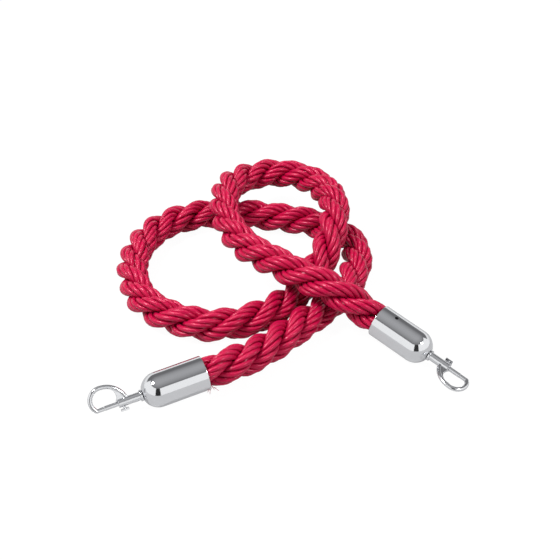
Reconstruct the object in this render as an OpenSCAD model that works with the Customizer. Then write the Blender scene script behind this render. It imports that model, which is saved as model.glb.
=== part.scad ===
// Twisted barrier rope with a capped end and a swivelling bolt snap hook at each end.
// Units are millimetres and +Z is up.
// The rope lies in two loose loops on the floor, with both ends at the front.

/* [Rope] */
// Thickness of the rope over its strands
rope_diameter = 28; // [22:0.5:36]
// Width of the loops the rope lies in, as a factor
loop_spread = 1; // [0.8:0.01:1.3]
// Length of rope held inside each cap
rope_insert = 28; // [16:1:32]

/* [End caps] */
// Length of a cap from its mouth to its nose
cap_length = 49.5; // [42:0.5:70]
// Inside diameter of a cap, which squeezes the rope
cap_bore = 25; // [20:0.5:32]
// Wall thickness of a cap
cap_wall = 1; // [0.8:0.1:2]
// Distance of the grub screw from the mouth
screw_setback = 14; // [8:0.5:20]
// Thread diameter of the grub screw
screw_diameter = 3; // [2:0.5:5]
// Length of the whipping wound on the rope end
binding_length = 21; // [10:1:24]

/* [Swivel] */
// Diameter of the swivel pin's shank
pin_diameter = 4; // [3:0.5:6]
// Diameter of the riveted head inside the cap
pin_head_diameter = 8.4; // [7:0.2:10]
// Diameter of the collar between the cap and the hook
collar_diameter = 8.8; // [7:0.2:12]

/* [Snap hook] */
// Outer diameter of the barrel that holds the bolt
barrel_diameter = 6.6; // [6:0.2:10]
// Length of the barrel
barrel_length = 16.8; // [14:0.2:24]
// Diameter of the round bar of the hook
bar_diameter = 3.5; // [3:0.1:5]
// Radius of the curved end, to the middle of the bar
bow_radius = 9.2; // [8:0.1:14]
// Thickness of the flat web between the barrel and the bar
web_thickness = 2.2; // [1.5:0.1:3]

/* [Bolt] */
// Diameter of the sliding bolt
bolt_diameter = 3.6; // [3:0.1:5]
// How far the bolt slides back
bolt_travel = 7; // [4:0.5:8]
// Diameter of the stud that carries the thumb pad
stud_diameter = 2.2; // [1.6:0.1:3]
// Length of the thumb pad along the barrel
pad_length = 6; // [4:0.5:8]
// Wire thickness of the return spring
spring_wire = 0.4; // [0.3:0.05:0.6]
// Number of turns in the return spring
spring_turns = 5; // [4:1:7]

/* [Hidden] */
round_steps = 64;
cut = 1;

// Fits and clearances
running_fit = 0.08;
bolt_fit = 0.1;
press_fit = 0.02;
axial_gap = 0.3;
slot_gap = 0.4;
insert_gap = 0.1;
screw_gap = 0.2;
coil_gap = 0.05;

// Rope
rope_radius = rope_diameter / 2;
rope_sides = 12;
samples_per_span = 2;
stack_height = rope_diameter + 1;

// Cap
bore_radius = cap_bore / 2;
squeeze_gap = 0.9;
gripped_radius = bore_radius - squeeze_gap;
cap_radius = bore_radius + cap_wall;
nose_radius = 3.6;
seat_thickness = 1.8;
washer_thickness = 1;
washer_radius = 5.4;
dome_depth = sqrt(cap_radius * cap_radius - nose_radius * nose_radius);
cap_straight = cap_length - dome_depth;
seat_depth = dome_depth - seat_thickness;
screw_radius = screw_diameter / 2;
screw_reach = cap_radius - gripped_radius - screw_gap;
screw_recess = 0.1;
socket_width = screw_diameter * 0.5;
socket_depth = 0.9;
binding_end_gap = 1;
binding_start = rope_insert - binding_length - binding_end_gap;
binding_inner = gripped_radius + press_fit;
binding_outer = bore_radius - insert_gap;

// Swivel, measured along the cap from its mouth
pin_radius = pin_diameter / 2;
pin_head_thickness = 2;
washer_start = cap_length - seat_thickness - washer_thickness;
pin_head_start = washer_start - axial_gap - pin_head_thickness;
collar_start = cap_length + axial_gap;
collar_thickness = 1.4;
barrel_start = collar_start + collar_thickness;
pin_tail = 1.3;
pin_end = barrel_start + pin_tail;

// Snap hook, measured along the barrel from its rear face
bar_radius = bar_diameter / 2;
barrel_radius = barrel_diameter / 2;
bolt_radius = bolt_diameter / 2;
bore = bolt_radius + bolt_fit;
stub_clearance = axial_gap;
bow_offset = 10;
bow_along = barrel_length + bow_offset;
bow_rise = bow_radius * sin(45);
back_extra = 7.8;
back_radius = bow_radius + back_extra;
back_rise = bow_rise + bow_radius - back_radius;
back_sweep = 78;
opening_radius = bow_radius - bar_radius;
opening_stretch = 2.7;
web_inset = 1;
back_step = 0.08;
bore_overlap = 0.5;
tip_along = bow_along + bow_rise;
tip_radius = bar_radius - 0.1;
tip_overrun = 0.6;
bolt_past_bow = 0.5;
bolt_front = bow_along + bolt_past_bow;
bolt_guide = 5.5;
bolt_rear = barrel_length - bolt_guide;
stud_inset = 2;
stud_along = bolt_rear + stud_inset;
stud_radius = stud_diameter / 2;
slot_half_width = stud_radius + axial_gap;
slot_start = stud_along - bolt_travel - stud_radius - slot_gap;
slot_length = bolt_travel + 2 * (stud_radius + slot_gap);
stud_depth = 0.3;
pad_gap = 1.7;
pad_thickness = 1.3;
pad_width = 4.5;
pad_level = barrel_radius + pad_gap;
spring_rear = pin_tail + spring_wire / 2 + coil_gap;
spring_front = bolt_rear - spring_wire / 2 - coil_gap;
spring_radius = bolt_radius - spring_wire / 2 - bolt_fit;
spring_sides = 6;
steps_per_turn = 12;

// Where each end lies: the middle of the cap's mouth, the way it points and how it is turned
left_azimuth = 204;
left_tilt = 5;
left_roll = 33;
left_screw_turn = 120;
right_azimuth = -39;
right_tilt = 12;
right_roll = 90;
right_screw_turn = 0;
left_mouth = mouth_at([-59, -16], left_tilt);
right_mouth = mouth_at([77, 42], right_tilt);

// The lie of the rope from the left cap to the right one: x, y and how far it is lifted,
// counted in rope thicknesses
lie = [
    [-35, -4, 0.1],
    [-13, 16, 0],
    [9, 39, 0],
    [30, 62, 0],
    [49, 88, 0],
    [62, 115, 0],
    [67, 144, 0],
    [61, 169, 0],
    [44, 189, 0],
    [16, 203, 0],
    [-19, 211, 0],
    [-55, 215, 0],
    [-89, 209, 0],
    [-114, 190, 0],
    [-129, 157, 0],
    [-131, 120, 0],
    [-120, 85, 0],
    [-103, 63, 0],
    [-80, 50, 0],
    [-54, 44, 0],
    [-26, 52, 0],
    [-1, 70, 0],
    [18, 97, 0],
    [33, 120, 0.3],
    [43, 143, 0.75],
    [47, 170, 1],
    [45, 198, 1],
    [35, 225, 0.85],
    [19, 245, 0.8],
    [-7, 252, 0.8],
    [-34, 241, 0.85],
    [-50, 214, 1],
    [-53, 179, 1],
    [-45, 147, 0.9],
    [-28, 116, 0.9],
    [-2, 89, 1],
    [15, 73, 1],
    [33, 61, 1],
    [57, 50, 0.65]
];

function mouth_at(place, tilt) = [
    place.x * loop_spread,
    place.y * loop_spread,
    cap_radius + cap_straight * sin(tilt)
];

function heading(azimuth, tilt) = [
    cos(azimuth) * cos(tilt),
    sin(azimuth) * cos(tilt),
    -sin(tilt)
];

function inside_cap(mouth, azimuth, tilt, depths) =
    [for (depth = depths) mouth + heading(azimuth, tilt) * depth];

// Catmull-Rom curve through b and c
function curve_point(a, b, c, d, t) =
    0.5 * (2 * b + (c - a) * t + (2 * a - 5 * b + 4 * c - d) * t * t
    + (3 * b - a - 3 * c + d) * t * t * t);

function on_floor(point) = [point.x, point.y, max(point.z, rope_radius)];

function curve(points, samples) = [
    for (i = [1 : len(points) - 3], step = [0 : samples - 1])
        on_floor(curve_point(points[i - 1], points[i], points[i + 1], points[i + 2], step / samples))
];

function unit(v) = v / norm(v);

// The ring of points round the rope at one place, level with the floor
function ring(centre, along, radius, sides) =
    let (side = unit(cross([0, 0, 1], along)), up = cross(along, side))
    [for (k = [0 : sides - 1]) centre
        + side * radius * sin(360 * k / sides)
        + up * radius * cos(360 * k / sides)];

function tube_faces(rings, sides) = concat(
    [[for (k = [0 : sides - 1]) k]],
    [for (i = [0 : rings - 2], k = [0 : sides - 1]) [
        i * sides + k,
        (i + 1) * sides + k,
        (i + 1) * sides + (k + 1) % sides,
        i * sides + (k + 1) % sides
    ]],
    [[for (k = [0 : sides - 1]) (rings - 1) * sides + sides - 1 - k]]
);

laid = [for (place = lie) [
    place.x * loop_spread,
    place.y * loop_spread,
    rope_radius + place.z * stack_height
]];

// How far inside each cap the curve of the free rope starts
curve_reach = 24;
free_rope = curve(
    concat(
        inside_cap(left_mouth, left_azimuth, left_tilt, [curve_reach, 0]),
        laid,
        inside_cap(right_mouth, right_azimuth, right_tilt, [0, curve_reach])
    ),
    samples_per_span
);

// The two ends in the caps' mouths are gripped thinner than the free rope
mouth_gap = 2;
grip_depths = [rope_insert, rope_insert / 2, -mouth_gap];
free_count = len(free_rope);
rope_route = concat(
    inside_cap(left_mouth, left_azimuth, left_tilt, grip_depths),
    [for (i = [1 : free_count - 1]) free_rope[i]],
    inside_cap(right_mouth, right_azimuth, right_tilt, [for (i = [2 : -1 : 0]) grip_depths[i]])
);
ring_count = len(rope_route);
grip_count = len(grip_depths);

function route_way(i) = unit(
    rope_route[min(i + 1, ring_count - 1)] - rope_route[max(i - 1, 0)]
);

function route_radius(i) =
    (i < grip_count || i >= ring_count - grip_count) ? gripped_radius : rope_radius;

// Places a piece drawn along +X from the mouth of the left cap
module at_left_end(turn = 0) {
    translate(left_mouth)
        rotate([0, left_tilt, left_azimuth])
            rotate([turn, 0, 0])
                children();
}

// Places a piece drawn along +X from the mouth of the right cap
module at_right_end(turn = 0) {
    translate(right_mouth)
        rotate([0, right_tilt, right_azimuth])
            rotate([turn, 0, 0])
                children();
}

// A round bar along +X
module bar_along(start, length, radius) {
    translate([start, 0, 0])
        rotate([0, 90, 0])
            cylinder(h = length, r = radius, $fn = round_steps);
}

// The radial line of the grub screw, from the middle of the cap outwards
module screw_line(start, length, radius) {
    translate([screw_setback, 0, start])
        cylinder(h = length, r = radius, $fn = round_steps);
}

module cap_half_section() {
    difference() {
        union() {
            square([cap_radius, cap_straight]);
            translate([0, cap_straight])
                intersection() {
                    circle(r = cap_radius, $fn = round_steps);
                    square([cap_radius, dome_depth]);
                }
        }
        translate([0, -cut])
            square([bore_radius, cap_straight + cut]);
        translate([0, cap_straight])
            intersection() {
                circle(r = bore_radius, $fn = round_steps);
                square([bore_radius, seat_depth]);
            }
        square([pin_radius + running_fit, cap_length + cut]);
    }
}

module end_cap(screw_turn) {
    color([0.82, 0.83, 0.85])
        difference() {
            rotate([0, 90, 0])
                rotate_extrude($fn = round_steps)
                    cap_half_section();
            rotate([screw_turn, 0, 0])
                screw_line(bore_radius - cut, cap_wall + 2 * cut, screw_radius + press_fit);
        }
}

module set_screw(screw_turn) {
    color([0.25, 0.25, 0.27])
        rotate([screw_turn, 0, 0])
            difference() {
                screw_line(cap_radius - screw_reach, screw_reach - screw_recess, screw_radius);
                translate([screw_setback, 0, cap_radius - screw_recess - socket_depth])
                    cylinder(h = socket_depth + cut, d = socket_width, $fn = 6);
            }
}

module binding(screw_turn) {
    color([0.55, 0.07, 0.17])
        difference() {
            bar_along(binding_start, binding_length, binding_outer);
            bar_along(binding_start - cut, binding_length + 2 * cut, binding_inner);
            rotate([screw_turn, 0, 0])
                screw_line(gripped_radius - cut, cap_wall + 3 * cut, screw_radius + screw_gap);
        }
}

module washer() {
    color([0.7, 0.7, 0.72])
        difference() {
            bar_along(washer_start, washer_thickness, washer_radius);
            bar_along(washer_start - cut, washer_thickness + 2 * cut, pin_radius + running_fit);
        }
}

module swivel_pin() {
    color([0.75, 0.76, 0.78]) {
        bar_along(pin_head_start, pin_head_thickness, pin_head_diameter / 2);
        bar_along(pin_head_start + cut, pin_end - pin_head_start - cut, pin_radius);
    }
}

module collar() {
    color([0.78, 0.79, 0.81])
        difference() {
            bar_along(collar_start, collar_thickness, collar_diameter / 2);
            bar_along(collar_start - cut, collar_thickness + 2 * cut, pin_radius + press_fit);
        }
}

// An arc of round bar in the plane of the hook
module bar_arc(along, rise, radius, thickness, start_angle, sweep) {
    translate([along, 0, rise])
        rotate([90, 0, 0])
            rotate([0, 0, start_angle])
                rotate_extrude(angle = sweep, $fn = round_steps)
                    translate([radius, 0])
                        circle(r = thickness, $fn = round_steps);
}

// The opening of the hook, drawn flat
module opening_outline() {
    translate([bow_along, bow_rise])
        circle(r = opening_radius, $fn = round_steps);
    translate([bow_along - opening_stretch, bow_rise])
        circle(r = opening_radius, $fn = round_steps);
    translate([bow_along - opening_stretch, bow_rise - opening_radius])
        square([opening_stretch, 2 * opening_radius]);
}

// The flat web fills the corner between the barrel and the curved bar
module web() {
    translate([0, web_thickness / 2, 0])
        rotate([90, 0, 0])
            linear_extrude(height = web_thickness)
                difference() {
                    intersection() {
                        translate([bow_along, back_rise])
                            circle(r = back_radius, $fn = round_steps);
                        square([bow_along - web_inset, bow_rise + bow_radius]);
                    }
                    opening_outline();
                }
}

module curved_bar() {
    union() {
        bar_arc(bow_along, bow_rise, bow_radius, bar_radius, -45, 135);
        bar_arc(bow_along, back_rise, back_radius, bar_radius - back_step, 90, back_sweep);
    }
}

// The straight end of the bar, which the bolt closes against
module bar_tip() {
    tip_start = bolt_front + stub_clearance;
    bar_along(tip_start, tip_along + tip_overrun - tip_start, tip_radius);
}

module barrel_cuts() {
    bar_along(-cut, pin_tail + cut, pin_radius + press_fit);
    bar_along(bore_overlap, barrel_length, bore);
    bar_along(barrel_length, bolt_front + stub_clearance - barrel_length, bore + axial_gap);
    translate([slot_start, -slot_half_width, -barrel_diameter])
        cube([slot_length, 2 * slot_half_width, barrel_diameter]);
}

module hook_body() {
    color([0.8, 0.81, 0.83])
        translate([barrel_start, 0, 0])
            difference() {
                union() {
                    bar_along(0, barrel_length, barrel_radius);
                    web();
                    curved_bar();
                    bar_tip();
                }
                barrel_cuts();
            }
}

module bolt() {
    color([0.78, 0.79, 0.81])
        translate([barrel_start, 0, 0])
            difference() {
                bar_along(bolt_rear, bolt_front - bolt_rear, bolt_radius);
                translate([stud_along, 0, -bolt_diameter])
                    cylinder(h = bolt_diameter - stud_depth, r = stud_radius + press_fit,
                        $fn = round_steps);
            }
}

module thumb_tab() {
    color([0.76, 0.77, 0.79])
        translate([barrel_start + stud_along, 0, -pad_level]) {
            cylinder(h = pad_level - stud_depth - press_fit, r = stud_radius, $fn = round_steps);
            translate([-pad_length / 2, -pad_width / 2, -pad_thickness])
                cube([pad_length, pad_width, pad_thickness]);
        }
}

// The return spring, swept as one helix between the pin and the bolt
module spring() {
    steps = spring_turns * steps_per_turn;
    rise = (spring_front - spring_rear) / steps;
    points = [for (i = [0 : steps], k = [0 : spring_sides - 1])
        let (
            angle = 360 * i / steps_per_turn,
            side = 360 * k / spring_sides,
            out = spring_radius + spring_wire / 2 * cos(side)
        )
        [spring_rear + i * rise + spring_wire / 2 * sin(side), out * cos(angle), out * sin(angle)]];
    color([0.6, 0.6, 0.62])
        translate([barrel_start, 0, 0])
            polyhedron(points = points, faces = tube_faces(steps + 1, spring_sides));
}

module rope() {
    points = [for (i = [0 : ring_count - 1])
        each ring(rope_route[i], route_way(i), route_radius(i), rope_sides)];
    color([0.7, 0.11, 0.25])
        polyhedron(points = points, faces = tube_faces(ring_count, rope_sides));
}

module left_end_cap() {
    at_left_end() end_cap(left_screw_turn);
}

module left_set_screw() {
    at_left_end() set_screw(left_screw_turn);
}

module left_binding() {
    at_left_end() binding(left_screw_turn);
}

module left_washer() {
    at_left_end() washer();
}

module left_swivel_pin() {
    at_left_end() swivel_pin();
}

module left_collar() {
    at_left_end() collar();
}

module left_hook_body() {
    at_left_end(left_roll) hook_body();
}

module left_bolt() {
    at_left_end(left_roll) bolt();
}

module left_thumb_tab() {
    at_left_end(left_roll) thumb_tab();
}

module left_spring() {
    at_left_end(left_roll) spring();
}

module right_end_cap() {
    at_right_end() end_cap(right_screw_turn);
}

module right_set_screw() {
    at_right_end() set_screw(right_screw_turn);
}

module right_binding() {
    at_right_end() binding(right_screw_turn);
}

module right_washer() {
    at_right_end() washer();
}

module right_swivel_pin() {
    at_right_end() swivel_pin();
}

module right_collar() {
    at_right_end() collar();
}

module right_hook_body() {
    at_right_end(right_roll) hook_body();
}

module right_bolt() {
    at_right_end(right_roll) bolt();
}

module right_thumb_tab() {
    at_right_end(right_roll) thumb_tab();
}

module right_spring() {
    at_right_end(right_roll) spring();
}

rope();
left_end_cap();
left_set_screw();
left_binding();
left_washer();
left_swivel_pin();
left_collar();
left_hook_body();
left_bolt();
left_thumb_tab();
left_spring();
right_end_cap();
right_set_screw();
right_binding();
right_washer();
right_swivel_pin();
right_collar();
right_hook_body();
right_bolt();
right_thumb_tab();
right_spring();
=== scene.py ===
"""Twisted barrier rope with bright end caps and swivelling snap hooks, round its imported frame."""

import math

import bpy
import numpy as np
from bpy.props import FloatProperty, FloatVectorProperty, IntProperty, PointerProperty
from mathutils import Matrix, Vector


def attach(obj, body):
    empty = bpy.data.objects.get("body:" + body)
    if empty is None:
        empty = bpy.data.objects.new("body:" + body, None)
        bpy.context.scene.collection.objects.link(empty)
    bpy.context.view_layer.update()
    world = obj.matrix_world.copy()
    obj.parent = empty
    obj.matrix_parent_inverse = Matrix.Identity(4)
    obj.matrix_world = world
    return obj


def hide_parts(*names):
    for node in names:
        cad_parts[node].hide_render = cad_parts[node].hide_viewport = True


bl_info = {
    "name": "Barrier Rope",
    "version": (1, 0, 0),
    "blender": (4, 5, 0),
    "location": "View3D > Sidebar > Barrier Rope",
    "description": "Builds a three-strand barrier rope with capped ends and snap hooks",
    "category": "Object",
}

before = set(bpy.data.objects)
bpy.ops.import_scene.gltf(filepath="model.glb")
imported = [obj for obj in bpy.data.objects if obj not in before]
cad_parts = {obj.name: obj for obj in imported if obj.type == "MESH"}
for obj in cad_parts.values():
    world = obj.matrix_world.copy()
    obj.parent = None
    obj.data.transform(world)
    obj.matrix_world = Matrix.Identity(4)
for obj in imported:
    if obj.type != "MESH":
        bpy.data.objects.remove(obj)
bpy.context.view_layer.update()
MM = 0.001
TURN = 2 * math.pi
SIDES = ("left", "right")
ROOT_BODY = "rope_and_caps"
SEED = 7

# Strands and yarns, as shares of the rope's diameter where they say so
STRAND_CENTRE = 0.268
STRAND_RADIUS = 0.232
STRAND_STAGGER = 0.13
CORE_SHARE = 0.6
HEART_SHARE = 0.5
YARN_HALF = 0.00198
YARN_FLATNESS = 0.92
YARN_BREADTH = 1.08
TUBE_SIDES = 8
ROUTE_STEP = 0.002
ROUTE_SAMPLES = 16
ROUTE_SOFTNESS = 3
CAP_REACH = 0.024
STACK_GAP = 0.001

# How far each random wave moves a strand or yarn, and how many waves it is made of
STRAND_SWELL = (0.03, 14)
STRAND_DRIFT = (0.08, 18)
YARN_DRIFT = (0.14, 24)
YARN_SWELL = (0.03, 20)
YARN_THICKNESS = (0.05, 24)

# The rope thins towards a cap's mouth
GRIP_DEPTH = 0.0018
GRIP_START = 0.001
GRIP_RUN = 0.012

# Loose fibres at the left cap
FIBRE_RADIUS = 0.00016
FIBRE_LENGTHS = (0.004, 0.007)
FIBRE_LEANS = (0.3, 1.1)
FIBRE_TRAILS = (-0.4, 0.5)
FIBRE_BEND = 60
FIBRE_SPREAD = 0.8
FIBRE_POINTS = 7

# Painted shade: the yarn colour darkens inwards in the rope and at the sides of each yarn, where
# shade falls in the grooves
GROOVE_SHADE_START = 0.45
GROOVE_SHADE_RUN = 0.45
CREST_SHADE_OFFSET = 0.15
CREST_SHADE_RUN = 0.8
FILAMENTS_ALONG = 25
FILAMENTS_ROUND = 6

# Turned caps
CAP_SIDES = 144
BODY_RINGS = 50
DOME_RINGS = 26
LIP_POINTS = 6
MOUTH_DEPTH = 0.008
SHARP_CAP_ANGLE = math.radians(50)
SHARP_CAST_ANGLE = math.radians(30)
OFF_THE_SCREW = 1.0

# Polishing marks on the metal
MARK_SCALE = 900.0
CLOUD_SCALE = 60.0
MARK_ROUGHNESS = 0.25
CLOUD_SHADE = 0.8
CAST_EDGE = 0.0003

# The stage
CAMERA_PLACE = (-0.002, -0.5552, 0.4949)
CAMERA_PITCH = math.radians(54)
CAMERA_LENS = 61.07
CAMERA_SENSOR = 36
FLOOR_HALF = 8
FLOOR_LEVEL = -0.0002
FLOOR_COLOUR = (0.85, 0.85, 0.85, 1)
FLOOR_GLOW = 1.05
FLOOR_SEEN_SHARE = 0.92
FLOOR_MIRRORED_SHARE = 0.6
FLOOR_MIRRORED = (0.42, 0.42, 0.43)
WHITE = (1.0, 1.0, 1.0)
ROOM_LIGHT = (0.42, 0.42, 0.42)
CEILING_EDGE = (0.17, 0.17, 0.175)
CEILING_TOP = (0.42, 0.42, 0.43)
CEILING_SLOPE = 3.3
CEILING_OFFSET = 2.3
WALL_DISTANCE = 2.0
WALL_STEPS = 24
# Name, first and last heading in degrees, height and glow of each wall
WALLS = (
    ("right_wall", -74, 20, 2.0, 1.0),
    ("left_wall", -106, -200, 2.0, 1.0),
    ("front_gap", -106, -74, 2.0, 0.03),
    ("back_wall", 20, 160, 0.7, 0.9),
)
LAMP_AIM = (0, 0.1, 0)
# Name, place, width, length and power of each lamp, and whether it lights the rope alone
LAMPS = (
    ("left_strip", (-0.55, 0.05, 1.15), 0.08, 1.5, 8.5, True),
    ("back_strip", (0.0, 0.65, 1.15), 1.5, 0.08, 5.5, True),
    ("side_lamp", (0.9, -0.6, 1.0), 0.3, 0.3, 7, False),
    ("key_lamp", (-0.8, -0.15, 1.2), 0.3, 0.3, 13, False),
)

# The rope's own route: x and y in metres, and the lift counted in rope thicknesses
LIE = [
    (-0.035, -0.004, 0.1),
    (-0.013, 0.016, 0.0),
    (0.009, 0.039, 0.0),
    (0.030, 0.062, 0.0),
    (0.049, 0.088, 0.0),
    (0.062, 0.115, 0.0),
    (0.067, 0.144, 0.0),
    (0.061, 0.169, 0.0),
    (0.044, 0.189, 0.0),
    (0.016, 0.203, 0.0),
    (-0.019, 0.211, 0.0),
    (-0.055, 0.215, 0.0),
    (-0.089, 0.209, 0.0),
    (-0.114, 0.190, 0.0),
    (-0.129, 0.157, 0.0),
    (-0.131, 0.120, 0.0),
    (-0.120, 0.085, 0.0),
    (-0.103, 0.063, 0.0),
    (-0.080, 0.050, 0.0),
    (-0.054, 0.044, 0.0),
    (-0.026, 0.052, 0.0),
    (-0.001, 0.070, 0.0),
    (0.018, 0.097, 0.0),
    (0.033, 0.120, 0.3),
    (0.043, 0.143, 0.75),
    (0.047, 0.170, 1.0),
    (0.045, 0.198, 1.0),
    (0.035, 0.225, 0.85),
    (0.019, 0.245, 0.8),
    (-0.007, 0.252, 0.8),
    (-0.034, 0.241, 0.85),
    (-0.050, 0.214, 1.0),
    (-0.053, 0.179, 1.0),
    (-0.045, 0.147, 0.9),
    (-0.028, 0.116, 0.9),
    (-0.002, 0.089, 1.0),
    (0.015, 0.073, 1.0),
    (0.033, 0.061, 1.0),
    (0.057, 0.050, 0.65),
]
# Each end of the rope: the cap mouth's place on the floor, its heading, tilt and screw
ENDS = {
    "left": {"place": (-0.059, -0.016), "azimuth": 204, "tilt": 5, "screw_turn": 120},
    "right": {"place": (0.077, 0.042), "azimuth": -39, "tilt": 12, "screw_turn": 0},
}


class RopeSettings(bpy.types.PropertyGroup):
    """Sizes and colours of the rope"""

    diameter: FloatProperty(
        name="Diameter",
        description="Thickness of the rope over its strands",
        default=0.028,
        unit="LENGTH",
    )
    lay_length: FloatProperty(
        name="Lay length",
        description="Rope length in which a strand goes round once",
        default=0.076,
        unit="LENGTH",
    )
    yarn_lay: FloatProperty(
        name="Yarn lay",
        description="Rope length in which a yarn goes round its strand once",
        default=0.0295,
        unit="LENGTH",
    )
    strands: IntProperty(
        name="Strands", description="Strands in the rope", default=3, min=2, max=6
    )
    yarns: IntProperty(
        name="Yarns", description="Outer yarns in each strand", default=6, min=4, max=10
    )
    frayed_fibres: IntProperty(
        name="Frayed fibres", description="Loose fibres at the left cap", default=9, min=0
    )
    insert: FloatProperty(
        name="Insert",
        description="Length of rope held inside each cap",
        default=0.028,
        unit="LENGTH",
    )
    colour: FloatVectorProperty(
        name="Yarn colour",
        description="Colour of the satin yarn where it is fullest",
        default=(0.40, 0.001, 0.041),
        size=3,
        min=0,
        max=1,
        subtype="COLOR",
    )
    # Painted shade: the darker colour laid on the yarn in the grooves between strands and at each
    # yarn's sides
    groove_shade_colour: FloatVectorProperty(
        name="Groove colour",
        description="Colour of the yarn down between the strands",
        default=(0.36, 0.001, 0.034),
        size=3,
        min=0,
        max=1,
        subtype="COLOR",
    )


class CapSettings(bpy.types.PropertyGroup):
    """Sizes of the end caps"""

    radius: FloatProperty(
        name="Radius", description="Outside radius of a cap", default=0.0135, unit="LENGTH"
    )
    nose_radius: FloatProperty(
        name="Nose radius",
        description="Radius of the flat on a cap's nose",
        default=0.0036,
        unit="LENGTH",
    )
    length: FloatProperty(
        name="Length",
        description="Length of a cap from mouth to nose",
        default=0.0495,
        unit="LENGTH",
    )
    wall: FloatProperty(
        name="Wall", description="Wall thickness at the mouth", default=0.001, unit="LENGTH"
    )
    lip: FloatProperty(
        name="Lip", description="Rounding of the mouth's edge", default=0.0005, unit="LENGTH"
    )
    pin_hole: FloatProperty(
        name="Pin hole",
        description="Radius of the hole for the swivel pin",
        default=0.0021,
        unit="LENGTH",
    )
    screw_setback: FloatProperty(
        name="Screw setback",
        description="Distance of the grub screw from the mouth",
        default=0.014,
        unit="LENGTH",
    )
    screw_hole: FloatProperty(
        name="Screw hole",
        description="Radius of the hole for the grub screw",
        default=0.00154,
        unit="LENGTH",
    )


class FinishSettings(bpy.types.PropertyGroup):
    """Colours of the metal parts"""

    chrome: FloatVectorProperty(
        name="Chrome",
        description="Colour of the polished plating",
        default=(0.80, 0.81, 0.83),
        size=3,
        min=0,
        max=1,
        subtype="COLOR",
    )
    steel: FloatVectorProperty(
        name="Steel",
        description="Colour of the plain plated steel",
        default=(0.56, 0.57, 0.59),
        size=3,
        min=0,
        max=1,
        subtype="COLOR",
    )


class Socket:
    """A node socket that takes part in Python sums"""

    def __init__(self, shader, link):
        self.shader = shader
        self.link = link

    def _math(self, operation, *values):
        return self.shader.node(
            "ShaderNodeMath", {"operation": operation}, dict(enumerate(values))
        )

    def __add__(self, other):
        return self._math("ADD", self, other)

    def __sub__(self, other):
        return self._math("SUBTRACT", self, other)

    def __mul__(self, other):
        return self._math("MULTIPLY", self, other)

    __radd__ = __add__
    __rmul__ = __mul__

    def __rsub__(self, other):
        return self._math("SUBTRACT", other, self)

    def clamped(self):
        return self._math("MINIMUM", self._math("MAXIMUM", self, 0.0), 1.0)


class Shader:
    """The node tree of one material or of the world"""

    def __init__(self, tree):
        self.tree = tree
        tree.nodes.clear()

    def node(self, kind, settings=None, inputs=None, output=0):
        made = self.tree.nodes.new(kind)
        for name, value in (settings or {}).items():
            if name == "stops":
                ramp = made.color_ramp.elements
                while len(ramp) < len(value):
                    ramp.new(0.5)
                for stop, (place, colour) in zip(ramp, value):
                    stop.position = place
                    stop.color = (*colour, 1) if len(colour) == 3 else colour
            else:
                setattr(made, name, value)
        for name, value in (inputs or {}).items():
            if isinstance(value, Socket):
                self.tree.links.new(value.link, made.inputs[name])
            else:
                made.inputs[name].default_value = value
        return Socket(self, made.outputs[output]) if made.outputs else None

    def blend(self, factor, first, second):
        """Mixes two colours"""
        colours = [
            (*c, 1) if isinstance(c, (tuple, list)) and len(c) == 3 else c
            for c in (first, second)
        ]
        return self.node(
            "ShaderNodeMix",
            {"data_type": "RGBA"},
            {0: factor, 6: colours[0], 7: colours[1]},
            output=2,
        )

    def noise(self, vector, scale, detail=2.0):
        return self.node(
            "ShaderNodeTexNoise", {}, {"Vector": vector, "Scale": scale, "Detail": detail}
        )


def new_material(name):
    material = bpy.data.materials.new(name)
    material.use_nodes = True
    return material, Shader(material.node_tree)


def finish_material(shader, surface):
    shader.node("ShaderNodeOutputMaterial", {}, {"Surface": surface})


def yarn_material(rope):
    """Satin yarn, with fine filaments along it and painted shade darkening its grooves"""
    material, shader = new_material("satin_yarn")
    place = shader.node("ShaderNodeAttribute", {"attribute_name": "yarn_place"}, output=1)
    # The depth attribute carries painted shade: it pulls the colour towards the groove shade colour
    # in the grooves
    depth = shader.node("ShaderNodeAttribute", {"attribute_name": "depth"}, output=2)
    tone = shader.node("ShaderNodeAttribute", {"attribute_name": "tone"}, output=2)
    filaments = shader.noise(place, 1.0, 3.0)
    colour = shader.blend(depth, tuple(rope.groove_shade_colour), tuple(rope.colour))
    pale = tuple(min(1, c * 1.25 + 0.01) for c in rope.colour)
    colour = shader.blend((filaments * 0.9 + tone * 0.5 - 0.45).clamped(), colour, pale)
    bump = shader.node(
        "ShaderNodeBump", {}, {"Strength": 0.15, "Distance": 0.0002, "Height": filaments}
    )
    surface = shader.node(
        "ShaderNodeBsdfPrincipled",
        {},
        {
            "Base Color": colour,
            "Roughness": 0.22 + filaments * 0.10,
            "Normal": bump,
            "Specular IOR Level": 0.45,
            "Specular Tint": (1.0, 0.5, 0.6, 1.0),
        },
    )
    finish_material(shader, surface)
    return material


def metal_material(name, colour, roughness, wear, edge=0.0):
    """Plated metal with faint polishing marks and softened edges"""
    material, shader = new_material(name)
    place = shader.node("ShaderNodeTexCoord", output=3)
    marks = shader.noise(place, MARK_SCALE, 4.0)
    clouds = shader.noise(place, CLOUD_SCALE, 2.0)
    worn = tuple(c * CLOUD_SHADE for c in colour)
    tone = shader.blend(clouds * wear, tuple(colour), worn)
    look = {
        "Base Color": tone,
        "Metallic": 1.0,
        "Roughness": roughness + marks * wear * MARK_ROUGHNESS,
    }
    if edge:
        look["Normal"] = shader.node("ShaderNodeBevel", {"samples": 6}, {"Radius": edge})
    surface = shader.node("ShaderNodeBsdfPrincipled", {}, look)
    finish_material(shader, surface)
    return material


def unit(vectors):
    return vectors / np.linalg.norm(vectors, axis=-1, keepdims=True)


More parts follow.
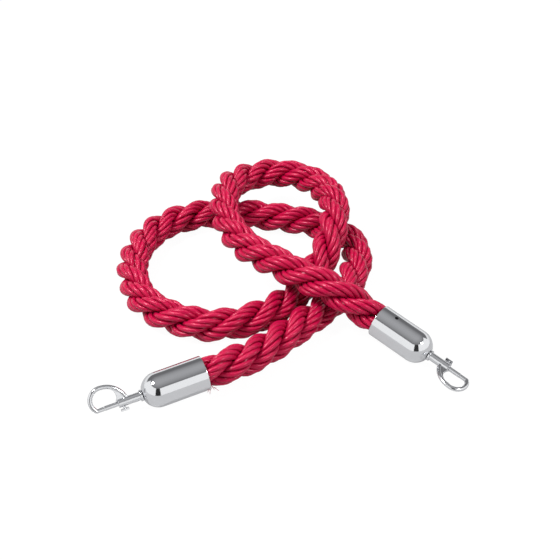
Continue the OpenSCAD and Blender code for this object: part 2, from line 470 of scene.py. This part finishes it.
def end_axes(side):
    """The mouth centre of a cap and the directions along it, across it and up from it"""
    end = ENDS[side]
    cap = bpy.context.scene.end_cap
    azimuth, tilt = math.radians(end["azimuth"]), math.radians(end["tilt"])
    along = np.array(
        [
            math.cos(azimuth) * math.cos(tilt),
            math.sin(azimuth) * math.cos(tilt),
            -math.sin(tilt),
        ]
    )
    across = np.array([-math.sin(azimuth), math.cos(azimuth), 0.0])
    up = np.cross(along, across)
    straight = cap.length - math.sqrt(cap.radius**2 - cap.nose_radius**2)
    mouth = np.array([*end["place"], cap.radius + straight * math.sin(tilt)])
    return mouth, along, across, up


def curve_through(points, samples):
    """A Catmull-Rom curve through all points but the first and the last"""
    a, b, c, d = (points[i : len(points) - 3 + i, None, :] for i in range(4))
    t = (np.arange(samples) / samples)[None, :, None]
    curve = 0.5 * (
        2 * b
        + (c - a) * t
        + (2 * a - 5 * b + 4 * c - d) * t**2
        + (3 * b - a - 3 * c + d) * t**3
    )
    return curve.reshape(-1, 3)


def evenly_spaced(points, step):
    """The same line with points one step apart, and the distance along it"""
    gaps = np.linalg.norm(np.diff(points, axis=0), axis=1)
    reach = np.concatenate([[0], np.cumsum(gaps)])
    count = int(round(reach[-1] / step)) + 1
    at = np.linspace(0, reach[-1], count)
    return np.stack([np.interp(at, reach, points[:, k]) for k in range(3)], axis=1), at


def softened(points, width):
    """Rounds a line off, keeping its ends"""
    reach = np.arange(-3 * width, 3 * width + 1)
    weight = np.exp(-0.5 * (reach / width) ** 2)
    weight /= weight.sum()
    padded = np.concatenate(
        [
            2 * points[:1] - points[3 * width : 0 : -1],
            points,
            2 * points[-1:] - points[-2 : -3 * width - 2 : -1],
        ]
    )
    return np.stack([np.convolve(padded[:, k], weight, "valid") for k in range(3)], axis=1)


def rope_route(rope, step):
    """The rope's centreline, from inside the left cap to inside the right one"""
    radius = rope.diameter / 2
    stack = rope.diameter + STACK_GAP
    laid = np.array([(x, y, radius + lift * stack) for x, y, lift in LIE])
    mouth_l, along_l, _, _ = end_axes("left")
    mouth_r, along_r, _, _ = end_axes("right")
    inside_l, inside_r = mouth_l + along_l * CAP_REACH, mouth_r + along_r * CAP_REACH
    free = curve_through(
        np.array([inside_l, mouth_l, *laid, mouth_r, inside_r]), ROUTE_SAMPLES
    )
    free[:, 2] = np.maximum(free[:, 2], radius)
    line = np.concatenate(
        [
            [mouth_l + along_l * rope.insert, mouth_l + along_l * rope.insert / 2],
            free,
            [mouth_r, mouth_r + along_r * rope.insert / 2, mouth_r + along_r * rope.insert],
        ]
    )
    line, _ = evenly_spaced(line, step)
    line = softened(line, ROUTE_SOFTNESS)
    return evenly_spaced(line, step)


def carried_frames(line):
    """Directions across a line, carried along it without twisting"""
    tangent = unit(np.gradient(line, axis=0))
    across = np.empty_like(line)
    across[0] = unit(np.cross(tangent[0], [0.0, 0.0, 1.0]))
    for i in range(1, len(line)):
        moved = across[i - 1] - tangent[i] * np.dot(across[i - 1], tangent[i])
        across[i] = moved / np.linalg.norm(moved)
    return tangent, across, np.cross(tangent, across)


def wander(rng, count, size_and_waves):
    """A slow smooth random wave along the rope"""
    size, waves = size_and_waves
    at = np.linspace(0, TURN, count)
    total = np.zeros(count)
    for wave in range(1, waves + 1):
        total += rng.normal() * np.sin(at * wave + rng.uniform(0, TURN)) / math.sqrt(waves)
    return size * total


def tube_mesh(centre, out, side, half_out, half_side, sides):
    """Vertices and faces of a closed tube with an oval section"""
    count = len(centre)
    angle = np.arange(sides) * TURN / sides
    ring = (
        out[:, None, :] * (half_out[:, None] * np.cos(angle))[..., None]
        + side[:, None, :] * (half_side[:, None] * np.sin(angle))[..., None]
    )
    vertices = (centre[:, None, :] + ring).reshape(-1, 3)
    i = np.arange(count - 1)[:, None] * sides
    k = np.arange(sides)[None, :]
    nxt = (k + 1) % sides
    quads = np.stack([i + k, i + nxt, i + sides + nxt, i + sides + k], axis=-1).reshape(-1, 4)
    caps = [list(range(sides))[::-1], [(count - 1) * sides + n for n in range(sides)]]
    return vertices, quads, caps


def mesh_object(name, vertices, faces, smooth=True):
    mesh = bpy.data.meshes.new(name)
    mesh.from_pydata([tuple(v) for v in vertices], [], [tuple(f) for f in faces])
    mesh.update()
    if smooth:
        mesh.polygons.foreach_set("use_smooth", [True] * len(mesh.polygons))
    piece = bpy.data.objects.new(name, mesh)
    bpy.context.scene.collection.objects.link(piece)
    return piece


class TubeBundle:
    """Many tubes gathered into one mesh, with what its material reads at each point"""

    def __init__(self, radius):
        self.radius = radius
        self.count = 0
        self.vertices, self.faces = [], []
        self.place, self.depth, self.tone = [], [], []

    def add(self, centre, out, side, half_out, half_side, at, middle, shade=0.0, spread=0.0):
        vertices, quads, caps = tube_mesh(centre, out, side, half_out, half_side, TUBE_SIDES)
        self.faces.extend((quads + self.count).tolist())
        self.faces.extend([[n + self.count for n in cap] for cap in caps])
        self.vertices.append(vertices)
        self.count += len(vertices)
        angle = np.tile(np.arange(TUBE_SIDES) / TUBE_SIDES, len(centre)) * TURN
        far = np.repeat(at, TUBE_SIDES) * FILAMENTS_ALONG
        round_out = np.cos(angle) * FILAMENTS_ROUND + spread
        self.place.append(np.stack([far, round_out, np.sin(angle) * FILAMENTS_ROUND], axis=1))
        # Painted shade: depth falls towards the rope's middle and at the sides of each yarn, where
        # the grooves lie in shade
        reach = np.linalg.norm(vertices - np.repeat(middle, TUBE_SIDES, axis=0), axis=1)
        crest = np.clip((np.cos(angle) + CREST_SHADE_OFFSET) / CREST_SHADE_RUN, 0, 1)
        outer = np.clip((reach / self.radius - GROOVE_SHADE_START) / GROOVE_SHADE_RUN, 0, 1)
        self.depth.append(outer * crest)
        self.tone.append(np.full(len(vertices), shade))

    def made(self, name):
        piece = mesh_object(name, np.concatenate(self.vertices), self.faces)
        for layer_name, kind, key, values in (
            ("yarn_place", "FLOAT_VECTOR", "vector", self.place),
            ("depth", "FLOAT", "value", self.depth),
            ("tone", "FLOAT", "value", self.tone),
        ):
            layer = piece.data.attributes.new(layer_name, kind, "POINT")
            layer.data.foreach_set(key, np.concatenate(values).ravel())
        return piece


def grip_squeeze(rope, along):
    """How much thinner the rope is where the caps hold it"""
    gripped = (bpy.context.scene.end_cap.radius - GRIP_DEPTH) / (rope.diameter / 2)
    from_end = np.minimum(along, along[-1] - along) - rope.insert
    grip = np.clip((from_end + GRIP_START) / GRIP_RUN, 0, 1)
    return gripped + (1 - gripped) * grip * grip * (3 - 2 * grip)


def lay_rope(bundle, rope, line, along, rng):
    """Lays the strands round the line, and the yarns round each strand"""
    _, across, up = carried_frames(line)
    count = len(line)
    squeeze = grip_squeeze(rope, along)
    centre_radius = STRAND_CENTRE * rope.diameter
    strand_radius = STRAND_RADIUS * rope.diameter
    yarn_radius = strand_radius - YARN_HALF * YARN_FLATNESS
    core = np.full(count, strand_radius * CORE_SHARE) * squeeze
    for strand in range(rope.strands):
        swell = 1 + wander(rng, count, STRAND_SWELL)
        turn = TURN * strand / rope.strands - TURN * along / rope.lay_length
        turn = turn + wander(rng, count, STRAND_DRIFT)
        radial = across * np.cos(turn)[:, None] + up * np.sin(turn)[:, None]
        middle = line + radial * (centre_radius * squeeze * swell)[:, None]
        way = unit(np.gradient(middle, axis=0))
        out = unit(radial - way * np.sum(radial * way, axis=1, keepdims=True))
        beside = np.cross(way, out)
        for yarn in range(rope.yarns):
            stagger = yarn / rope.yarns + strand * STRAND_STAGGER
            phase = TURN * (along / rope.yarn_lay + stagger)
            phase = phase + wander(rng, count, YARN_DRIFT)
            away = out * np.cos(phase)[:, None] + beside * np.sin(phase)[:, None]
            swell_yarn = 1 + wander(rng, count, YARN_SWELL)
            path = middle + away * (yarn_radius * squeeze * swell_yarn)[:, None]
            yarn_way = unit(np.gradient(path, axis=0))
            yarn_out = unit(away - yarn_way * np.sum(away * yarn_way, axis=1, keepdims=True))
            thick = YARN_HALF * squeeze * (1 + wander(rng, count, YARN_THICKNESS))
            shade, spread = rng.uniform(0, 1), rng.uniform(0, 100)
            bundle.add(
                path,
                yarn_out,
                np.cross(yarn_way, yarn_out),
                thick * YARN_FLATNESS,
                thick * YARN_BREADTH,
                along,
                line,
                shade,
                spread,
            )
        bundle.add(middle, out, beside, core, core, along, line)
    heart = np.full(count, centre_radius * HEART_SHARE)
    bundle.add(line, across, up, heart, heart, along, line)


def fray_rope(bundle, rope, rng):
    """A few cut fibres that stick out at the lower rim of the left cap"""
    mouth, cap_way, cap_side, cap_up = end_axes("left")
    root_reach = bpy.context.scene.end_cap.radius - 3 * MM
    for _ in range(rope.frayed_fibres):
        lean = rng.uniform(*FIBRE_LEANS)
        outward = cap_side * math.sin(lean) - cap_up * math.cos(lean)
        reach = np.linspace(0, rng.uniform(*FIBRE_LENGTHS), FIBRE_POINTS)
        bend = rng.uniform(-1, 1, 3) * FIBRE_BEND
        root = mouth - cap_way * MM + outward * root_reach
        trail = outward * FIBRE_SPREAD - cap_way * rng.uniform(*FIBRE_TRAILS)
        fibre = root + reach[:, None] * trail + (reach**2)[:, None] * bend
        ways = unit(np.gradient(fibre, axis=0))
        sideways = unit(np.cross(ways, cap_way + 0.1 * cap_up))
        thin = np.full(len(fibre), FIBRE_RADIUS)
        middle = np.repeat(mouth[None, :], len(fibre), axis=0)
        bundle.add(fibre, sideways, np.cross(ways, sideways), thin, thin, reach, middle, 1.0)


class BARRIER_OT_rope(bpy.types.Operator):
    """Lay the twisted rope along its route"""

    bl_idname = "barrier.rope"
    bl_label = "Rope"

    def execute(self, context):
        rope = context.scene.barrier_rope
        rng = np.random.default_rng(SEED)
        line, along = rope_route(rope, ROUTE_STEP)
        bundle = TubeBundle(rope.diameter / 2)
        lay_rope(bundle, rope, line, along, rng)
        fray_rope(bundle, rope, rng)
        piece = bundle.made("twisted_rope")
        piece.data.materials.append(yarn_material(rope))
        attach(piece, ROOT_BODY)
        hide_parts("rope")
        return {"FINISHED"}


def cap_profile(cap):
    """Distance along the cap and radius, from inside the mouth round to the nose"""
    bore = cap.radius - cap.wall
    dome_depth = math.sqrt(cap.radius**2 - cap.nose_radius**2)
    straight = cap.length - dome_depth
    turn = np.radians(np.linspace(0, 90, LIP_POINTS))
    inner = [(MOUTH_DEPTH, bore), (cap.lip, bore)]
    lip = [(cap.lip * (1 - math.sin(a)), bore + cap.lip * (1 - math.cos(a))) for a in turn]
    edge = cap.radius - cap.lip
    outer_lip = [(cap.lip * (1 - math.cos(a)), edge + cap.lip * math.sin(a)) for a in turn]
    body = [(x, cap.radius) for x in np.linspace(cap.lip, straight, BODY_RINGS)[1:]]
    fall = np.linspace(0, math.acos(cap.nose_radius / cap.radius), DOME_RINGS)[1:]
    dome = [(straight + cap.radius * math.sin(a), cap.radius * math.cos(a)) for a in fall]
    nose = [(cap.length, cap.pin_hole), (cap.length - MM, cap.pin_hole)]
    return np.array(inner + lip[1:] + outer_lip[1:] + body + dome + nose)


def turned_cap(side):
    """A cap turned round its axis, open at the grub screw"""
    cap = bpy.context.scene.end_cap
    mouth, along, across, up = end_axes(side)
    profile = cap_profile(cap)
    sides = CAP_SIDES
    angle = np.arange(sides) * TURN / sides
    rings = len(profile)
    spin = np.tile(angle, rings)
    depth = np.repeat(profile[:, 0], sides)
    radius = np.repeat(profile[:, 1], sides)

    # Spread flat round the screw, so that its hole can be cut round
    screw_angle = -math.radians(ENDS[side]["screw_turn"])
    aside = (spin - screw_angle + math.pi) % TURN - math.pi
    flat = np.stack([depth - cap.screw_setback, aside * cap.radius], axis=1)
    reach = np.linalg.norm(flat, axis=1)
    reach[radius < cap.radius - MM / 100] = OFF_THE_SCREW
    i = np.arange(rings - 1)[:, None] * sides
    k = np.arange(sides)[None, :]
    nxt = (k + 1) % sides
    quads = np.stack([i + k, i + sides + k, i + sides + nxt, i + nxt], axis=-1).reshape(-1, 4)
    opened = reach[quads].mean(axis=1) < cap.screw_hole
    rim = np.intersect1d(quads[opened].ravel(), quads[~opened].ravel())
    flat[rim] *= (cap.screw_hole / reach[rim])[:, None]
    depth[rim] = flat[rim, 0] + cap.screw_setback
    spin[rim] = screw_angle + flat[rim, 1] / cap.radius

    vertices = (
        mouth
        + along * depth[:, None]
        + (up * np.cos(spin)[:, None] + across * np.sin(spin)[:, None]) * radius[:, None]
    )
    piece = mesh_object(f"{side}_turned_cap", vertices, quads[~opened].tolist())
    piece.data.set_sharp_from_angle(angle=SHARP_CAP_ANGLE)
    return piece


class BARRIER_OT_caps(bpy.types.Operator):
    """Turn the two bright end caps"""

    bl_idname = "barrier.caps"
    bl_label = "End caps"

    def execute(self, context):
        chrome = metal_material("cap_chrome", context.scene.metal_finish.chrome, 0.07, 0.15)
        for side in SIDES:
            piece = turned_cap(side)
            piece.data.materials.append(chrome)
            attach(piece, ROOT_BODY)
            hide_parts(f"{side}_end_cap")
        return {"FINISHED"}


class BARRIER_OT_fittings(bpy.types.Operator):
    """Give the swivels and hooks their plated finishes"""

    bl_idname = "barrier.fittings"
    bl_label = "Fittings"

    def execute(self, context):
        finish = context.scene.metal_finish
        cast = metal_material("hook_chrome", finish.chrome, 0.12, 0.4, CAST_EDGE)
        steel = metal_material("plated_steel", finish.steel, 0.28, 0.5)
        dark = metal_material("dark_screw", (0.05, 0.05, 0.055), 0.4, 0.5)
        finishes = {
            "set_screw": dark,
            "washer": steel,
            "swivel_pin": steel,
            "collar": cast,
            "hook_body": cast,
            "bolt": cast,
            "thumb_tab": cast,
            "spring": steel,
            "binding": bpy.data.materials["satin_yarn"],
        }
        for side in SIDES:
            for piece, material in finishes.items():
                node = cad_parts[f"{side}_{piece}"]
                node.data.set_sharp_from_angle(angle=SHARP_CAST_ANGLE)
                for slot in node.material_slots:
                    slot.material = material
        return {"FINISHED"}


def glowing(name, strength):
    """A plain white light-giving surface"""
    material, shader = new_material(name)
    light = shader.node(
        "ShaderNodeEmission", {}, {"Color": (*WHITE, 1), "Strength": strength}
    )
    finish_material(shader, light)
    return material


def stand_wall(name, start, end, height, glow):
    """A curved wall round the stage between two headings, which only bright metal mirrors"""
    vertices = []
    for i in range(WALL_STEPS + 1):
        angle = math.radians(start + (end - start) * i / WALL_STEPS)
        x, y = WALL_DISTANCE * math.cos(angle), WALL_DISTANCE * math.sin(angle)
        vertices += [(x, y, 0.0), (x, y, height)]
    faces = [(2 * i, 2 * i + 2, 2 * i + 3, 2 * i + 1) for i in range(WALL_STEPS)]
    wall = mesh_object(name, vertices, faces)
    wall.data.materials.append(glowing(name, glow))
    wall.visible_camera = False
    wall.visible_diffuse = False
    wall.visible_shadow = False
    wall.visible_transmission = False


def hang_lamp(name, place, width, length, power, receivers):
    """A lamp aimed at the rope; receivers is a collection, or None to light everything"""
    lamp = bpy.data.lights.new(name, "AREA")
    lamp.shape = "RECTANGLE" if receivers else "DISK"
    lamp.size = width
    lamp.size_y = length
    lamp.energy = power
    stand = bpy.data.objects.new(name, lamp)
    stand.location = place
    way = Vector(LAMP_AIM) - Vector(place)
    stand.rotation_euler = way.to_track_quat("-Z", "Y").to_euler()
    if receivers:
        stand.light_linking.receiver_collection = receivers
    bpy.context.scene.collection.objects.link(stand)


def place_camera(scene):
    camera = bpy.data.cameras.new("camera")
    camera.sensor_width = CAMERA_SENSOR
    camera.lens = CAMERA_LENS
    camera.clip_start = 0.01
    view = bpy.data.objects.new("camera", camera)
    view.location = CAMERA_PLACE
    view.rotation_euler = (CAMERA_PITCH, 0, 0)
    scene.collection.objects.link(view)
    scene.camera = view


def lay_floor():
    """A pale floor that looks white and that the metal mirrors as grey"""
    half, level = FLOOR_HALF, FLOOR_LEVEL
    turns = ((-1, -1), (1, -1), (1, 1), (-1, 1))
    corners = [(x * half, y * half, level) for x, y in turns]
    floor = mesh_object("floor", corners, [(0, 1, 2, 3)], smooth=False)
    material, shader = new_material("pale_floor")
    lit = shader.node("ShaderNodeBsdfDiffuse", {}, {"Color": FLOOR_COLOUR})
    seen = shader.node("ShaderNodeLightPath", output=0)
    mirrored = shader.node("ShaderNodeLightPath", output=3)
    tone = shader.blend(mirrored, WHITE, FLOOR_MIRRORED)
    glow = shader.node("ShaderNodeEmission", {}, {"Color": tone, "Strength": FLOOR_GLOW})
    share = seen * FLOOR_SEEN_SHARE + mirrored * FLOOR_MIRRORED_SHARE
    mix = shader.node("ShaderNodeMixShader", {}, {0: share, 1: lit, 2: glow})
    finish_material(shader, mix)
    floor.data.materials.append(material)


def fill_room(scene):
    """Soft light all round: white to the camera, and a grey ceiling to the metal"""
    world = bpy.data.worlds.new("room")
    world.use_nodes = True
    scene.world = world
    room = Shader(world.node_tree)
    seen = room.node("ShaderNodeLightPath", output=0)
    mirrored = room.node("ShaderNodeLightPath", output=3)
    way = room.node("ShaderNodeTexCoord", output=0)
    height = room.node("ShaderNodeSeparateXYZ", {}, {"Vector": way}, output=2)
    ceiling = room.blend(
        (height * CEILING_SLOPE - CEILING_OFFSET).clamped(), CEILING_EDGE, CEILING_TOP
    )
    colour = room.blend(mirrored, ROOM_LIGHT, ceiling)
    colour = room.blend(seen, colour, WHITE)
    back = room.node("ShaderNodeBackground", {}, {"Color": colour, "Strength": 1.0})
    room.node("ShaderNodeOutputWorld", {}, {"Surface": back})


class BARRIER_OT_stage(bpy.types.Operator):
    """Set the pale floor, the room, the lamps and the camera"""

    bl_idname = "barrier.stage"
    bl_label = "Stage"

    def execute(self, context):
        scene = context.scene
        scene.view_settings.view_transform = "Standard"
        place_camera(scene)
        lay_floor()
        fill_room(scene)
        for wall in WALLS:
            stand_wall(*wall)
        rope_only = bpy.data.collections.new("rope_light")
        rope_only.objects.link(bpy.data.objects["twisted_rope"])
        for *lamp, on_rope in LAMPS:
            hang_lamp(*lamp, rope_only if on_rope else None)
        return {"FINISHED"}


class BARRIER_PT_panel(bpy.types.Panel):
    """Buttons for the barrier rope"""

    bl_idname = "BARRIER_PT_panel"
    bl_label = "Barrier Rope"
    bl_space_type = "VIEW_3D"
    bl_region_type = "UI"
    bl_category = "Barrier Rope"

    def draw(self, context):
        for operator in OPERATORS:
            self.layout.operator(operator.bl_idname)


GROUPS = {
    "barrier_rope": RopeSettings,
    "end_cap": CapSettings,
    "metal_finish": FinishSettings,
}
OPERATORS = (BARRIER_OT_rope, BARRIER_OT_caps, BARRIER_OT_fittings, BARRIER_OT_stage)


def register():
    for cls in (*GROUPS.values(), *OPERATORS, BARRIER_PT_panel):
        bpy.utils.register_class(cls)
    for name, group in GROUPS.items():
        setattr(bpy.types.Scene, name, PointerProperty(type=group))


def unregister():
    for name in GROUPS:
        delattr(bpy.types.Scene, name)
    for cls in (BARRIER_PT_panel, *reversed(OPERATORS), *reversed(GROUPS.values())):
        bpy.utils.unregister_class(cls)


def main():
    register()
    bpy.ops.barrier.rope()
    bpy.ops.barrier.caps()
    bpy.ops.barrier.fittings()
    bpy.ops.barrier.stage()


if __name__ == "__main__":
    main()
